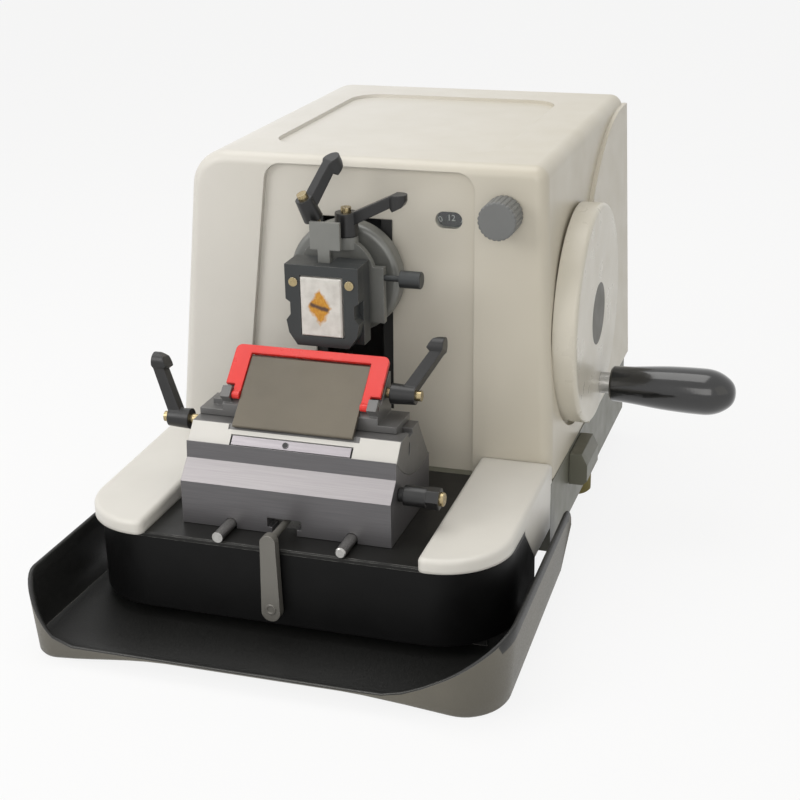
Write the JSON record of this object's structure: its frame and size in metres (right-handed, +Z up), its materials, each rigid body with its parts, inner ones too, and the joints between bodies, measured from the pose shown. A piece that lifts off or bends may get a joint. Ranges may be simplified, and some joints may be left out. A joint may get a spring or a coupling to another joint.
{
  "type": "rotary microtome",
  "caption": "Bench microtome: a handwheel lifts a specimen clamp past a blade held on a rocking knife segment, over a wide waste tray, with a covered drive and arm rests.",
  "frame": {"origin": "centre of the whole object's footprint, on the bench", "axes": "+X to the operator's right, towards the handwheel; +Y away from the operator; +Z up"},
  "size_m": [0.403, 0.4645, 0.2905],
  "materials": {
    "housing": "warm white moulded shell, satin",
    "base_paint": "gray-olive enamel on cast iron",
    "black_paint": "black satin enamel",
    "rest_white": "white moulded arm rest, satin",
    "tray_shell": "dark moulded tray, gray-olive outside",
    "black_rubber": "black rubber",
    "foot_rubber": "yellow-brown rubber foot",
    "casting": "raw machined cast iron",
    "steel": "turned or ground steel",
    "head_gray": "blue-gray coated metal",
    "clamp_gray": "dark gray coated clamp",
    "knob_gray": "gray moulded knob",
    "black_plastic": "black lever moulding",
    "grip_black": "glossy black turned grip",
    "wheel_white": "white enamelled wheel",
    "brass": "brass screw",
    "anodised": "dark gray anodised block",
    "bright_strip": "brushed silver strip",
    "plate_gray": "gray-brown hard coated plate",
    "guard_red": "red moulded guard",
    "dial_black": "black dial with white numbers",
    "cassette_white": "white histology cassette",
    "wax": "paraffin wax with an embedded sample",
    "lens": "clear oval pane"
  },
  "bodies": {
    "machine": {"base_casting": "base_paint", "feet": "foot_rubber", "base_top_plate": "black_paint", "front_apron": "black_paint", "handrest_right": "rest_white", "handrest_left": "rest_white", "housing_cover": "housing", "window_lens": "lens", "slot_seal": "black_rubber", "machine_frame": "casting", "guide_rails": "steel", "shaft_bearings": "steel", "dial_bracket": "steel", "guide_rods": "steel", "tee_bar": "steel"},
    "drive_wheel": {"handwheel": "wheel_white", "hub_cap": "knob_gray", "main_shaft": "steel", "crank_disc": "casting", "crank_pin": "steel", "handle_spindle": "steel"},
    "grip": {"handle_grip": "grip_black"},
    "vertical_slide": {"carriage": "casting", "yoke_plate": "steel"},
    "coarse_drive": {"coarse_wheel": "knob_gray"},
    "feed_screw": {"feed_spindle": "steel", "ratchet_wheel": "steel"},
    "feed": {"feed_cylinder": "head_gray"},
    "swivel": {"swivel_block": "head_gray"},
    "side_screw": {"side_knob": "knob_gray"},
    "clamp": {"clamp_back_plate": "clamp_gray", "clamp_body": "clamp_gray", "clamp_screws": "brass", "cassette": "cassette_white", "paraffin_block": "wax"},
    "clamp_release": {"release_plate": "head_gray"},
    "tilt_lock": {"clamp_lever": "black_plastic", "clamp_lever_screw": "brass"},
    "swivel_lock": {"swivel_lever": "black_plastic", "swivel_lever_screw": "brass"},
    "thickness_setting": {"thickness_knob": "knob_gray", "knob_shaft": "steel"},
    "dial": {"dial_disc": "dial_black"},
    "knife_carriage": {"knife_base": "anodised"},
    "base_lock": {"base_lever": "steel"},
    "knife_segment": {"segment": "anodised", "retaining_strip": "bright_strip"},
    "segment_lock": {"segment_lever": "black_plastic", "segment_lever_screw": "brass"},
    "segment_clamp": {"segment_bolt": "clamp_gray", "segment_bolt_screw": "brass"},
    "holder": {"blade_holder": "anodised", "blade": "steel"},
    "blade_lock": {"holder_lever": "black_plastic", "holder_lever_screw": "brass"},
    "plate": {"pressure_plate": "plate_gray"},
    "guard": {"finger_guard": "guard_red"},
    "wheel_brake": {"brake_lever": "clamp_gray"},
    "tray": {"waste_tray": "tray_shell"}
  },
  "joints": [
    {"name": "handwheel_turn", "type": "hinge", "parent": "machine", "child": "drive_wheel", "pos_m": [0.0895, 0.04905, 0.1632], "axis": [1, 0, 0], "continuous": true},
    {"name": "grip_spin", "type": "hinge", "parent": "drive_wheel", "child": "grip", "pos_m": [0.1555, 0.06439, 0.10675], "axis": [1, 0, 0], "continuous": true},
    {"name": "vertical_travel", "type": "slide", "parent": "machine", "child": "vertical_slide", "axis": [0, 0, 1], "range_m": [-0.045, 0.015]},
    {"name": "coarse_feed_turn", "type": "hinge", "parent": "machine", "child": "coarse_drive", "pos_m": [-0.1845, 0.06875, 0.15], "axis": [1, 0, 0], "range_deg": [-560, 1100]},
    {"name": "feed_screw_turn", "type": "hinge", "parent": "vertical_slide", "child": "feed_screw", "pos_m": [-0.0445, 0.00075, 0.206], "axis": [0, 1, 0], "range_deg": [-560, 1100]},
    {"name": "feed_travel", "type": "slide", "parent": "vertical_slide", "child": "feed", "axis": [0, -1, 0], "range_m": [-0.003, 0.006]},
    {"name": "swivel_turn", "type": "hinge", "parent": "feed", "child": "swivel", "pos_m": [-0.0445, -0.07725, 0.206], "axis": [0, 0, 1], "range_deg": [-6, 6]},
    {"name": "side_screw_turn", "type": "hinge", "parent": "swivel", "child": "side_screw", "pos_m": [-0.0045, -0.06075, 0.212], "axis": [1, 0, 0], "range_deg": [-180, 180]},
    {"name": "clamp_tilt", "type": "hinge", "parent": "swivel", "child": "clamp", "pos_m": [-0.0445, -0.07725, 0.206], "axis": [1, 0, 0], "range_deg": [-3.5, 8]},
    {"name": "release_turn", "type": "hinge", "parent": "clamp", "child": "clamp_release", "pos_m": [-0.0445, -0.08095, 0.221], "axis": [1, 0, 0], "range_deg": [-1, 12], "stiffness_Nm_per_rad": 0.05, "springref_deg": -114.59},
    {"name": "tilt_lock_turn", "type": "hinge", "parent": "swivel", "child": "tilt_lock", "pos_m": [-0.0564, -0.06945, 0.2507], "axis": [-0.2661, -0.3391, 0.9023], "range_deg": [-25, 40]},
    {"name": "swivel_lock_turn", "type": "hinge", "parent": "swivel", "child": "swivel_lock", "pos_m": [-0.038, -0.05925, 0.24], "axis": [0, 0, 1], "range_deg": [-40, 30]},
    {"name": "thickness_turn", "type": "hinge", "parent": "machine", "child": "thickness_setting", "pos_m": [0.0592, -0.03925, 0.2513], "axis": [0, -1, 0], "range_deg": [0, 300]},
    {"name": "dial_turn", "type": "hinge", "parent": "machine", "child": "dial", "pos_m": [0.0215, -0.02125, 0.22159], "axis": [0, -1, 0], "range_deg": [-190, 10]},
    {"name": "knife_travel", "type": "slide", "parent": "machine", "child": "knife_carriage", "axis": [0, -1, 0], "range_m": [0, 0.018]},
    {"name": "base_lock_turn", "type": "hinge", "parent": "machine", "child": "base_lock", "pos_m": [-0.0479, -0.16925, 0.07945], "axis": [0, -1, 0], "range_deg": [-65, 65]},
    {"name": "segment_rock", "type": "hinge", "parent": "knife_carriage", "child": "knife_segment", "pos_m": [-0.0445, -0.09925, 0.1655], "axis": [1, 0, 0], "range_deg": [-5, 8]},
    {"name": "segment_lock_turn", "type": "hinge", "parent": "knife_segment", "child": "segment_lock", "pos_m": [-0.1235, -0.12625, 0.1285], "axis": [1, 0, 0], "range_deg": [-20, 45]},
    {"name": "segment_clamp_turn", "type": "hinge", "parent": "knife_carriage", "child": "segment_clamp", "pos_m": [0.0355, -0.14425, 0.101], "axis": [1, 0, 0], "range_deg": [-90, 90]},
    {"name": "holder_travel", "type": "slide", "parent": "knife_segment", "child": "holder", "axis": [1, 0, 0], "range_m": [-0.004, 0.004]},
    {"name": "blade_lock_turn", "type": "hinge", "parent": "holder", "child": "blade_lock", "pos_m": [0.0065, -0.10725, 0.152], "axis": [1, 0, 0], "range_deg": [-8, 60]},
    {"name": "plate_turn", "type": "hinge", "parent": "holder", "child": "plate", "pos_m": [-0.0487, -0.13957, 0.1332], "axis": [1, 0, 0], "range_deg": [0, 40]},
    {"name": "guard_turn", "type": "hinge", "parent": "holder", "child": "guard", "pos_m": [-0.0487, -0.12497, 0.14777], "axis": [1, 0, 0], "range_deg": [0, 110]},
    {"name": "brake_turn", "type": "hinge", "parent": "machine", "child": "wheel_brake", "pos_m": [0.1005, 0.04675, 0.0585], "axis": [1, 0, 0], "range_deg": [-20, 20]},
    {"name": "tray_travel", "type": "slide", "parent": "machine", "child": "tray", "axis": [0, -1, 0], "range_m": [0, 0.06]}
  ],
  "couplings": [
    {"joint": "feed_screw_turn", "follows": "feed_travel", "rad_per_m": 3141.6},
    {"joint": "coarse_feed_turn", "follows": "feed_travel", "rad_per_m": 3141.6},
    {"joint": "dial_turn", "follows": "thickness_turn", "ratio": -0.6}
  ]
}
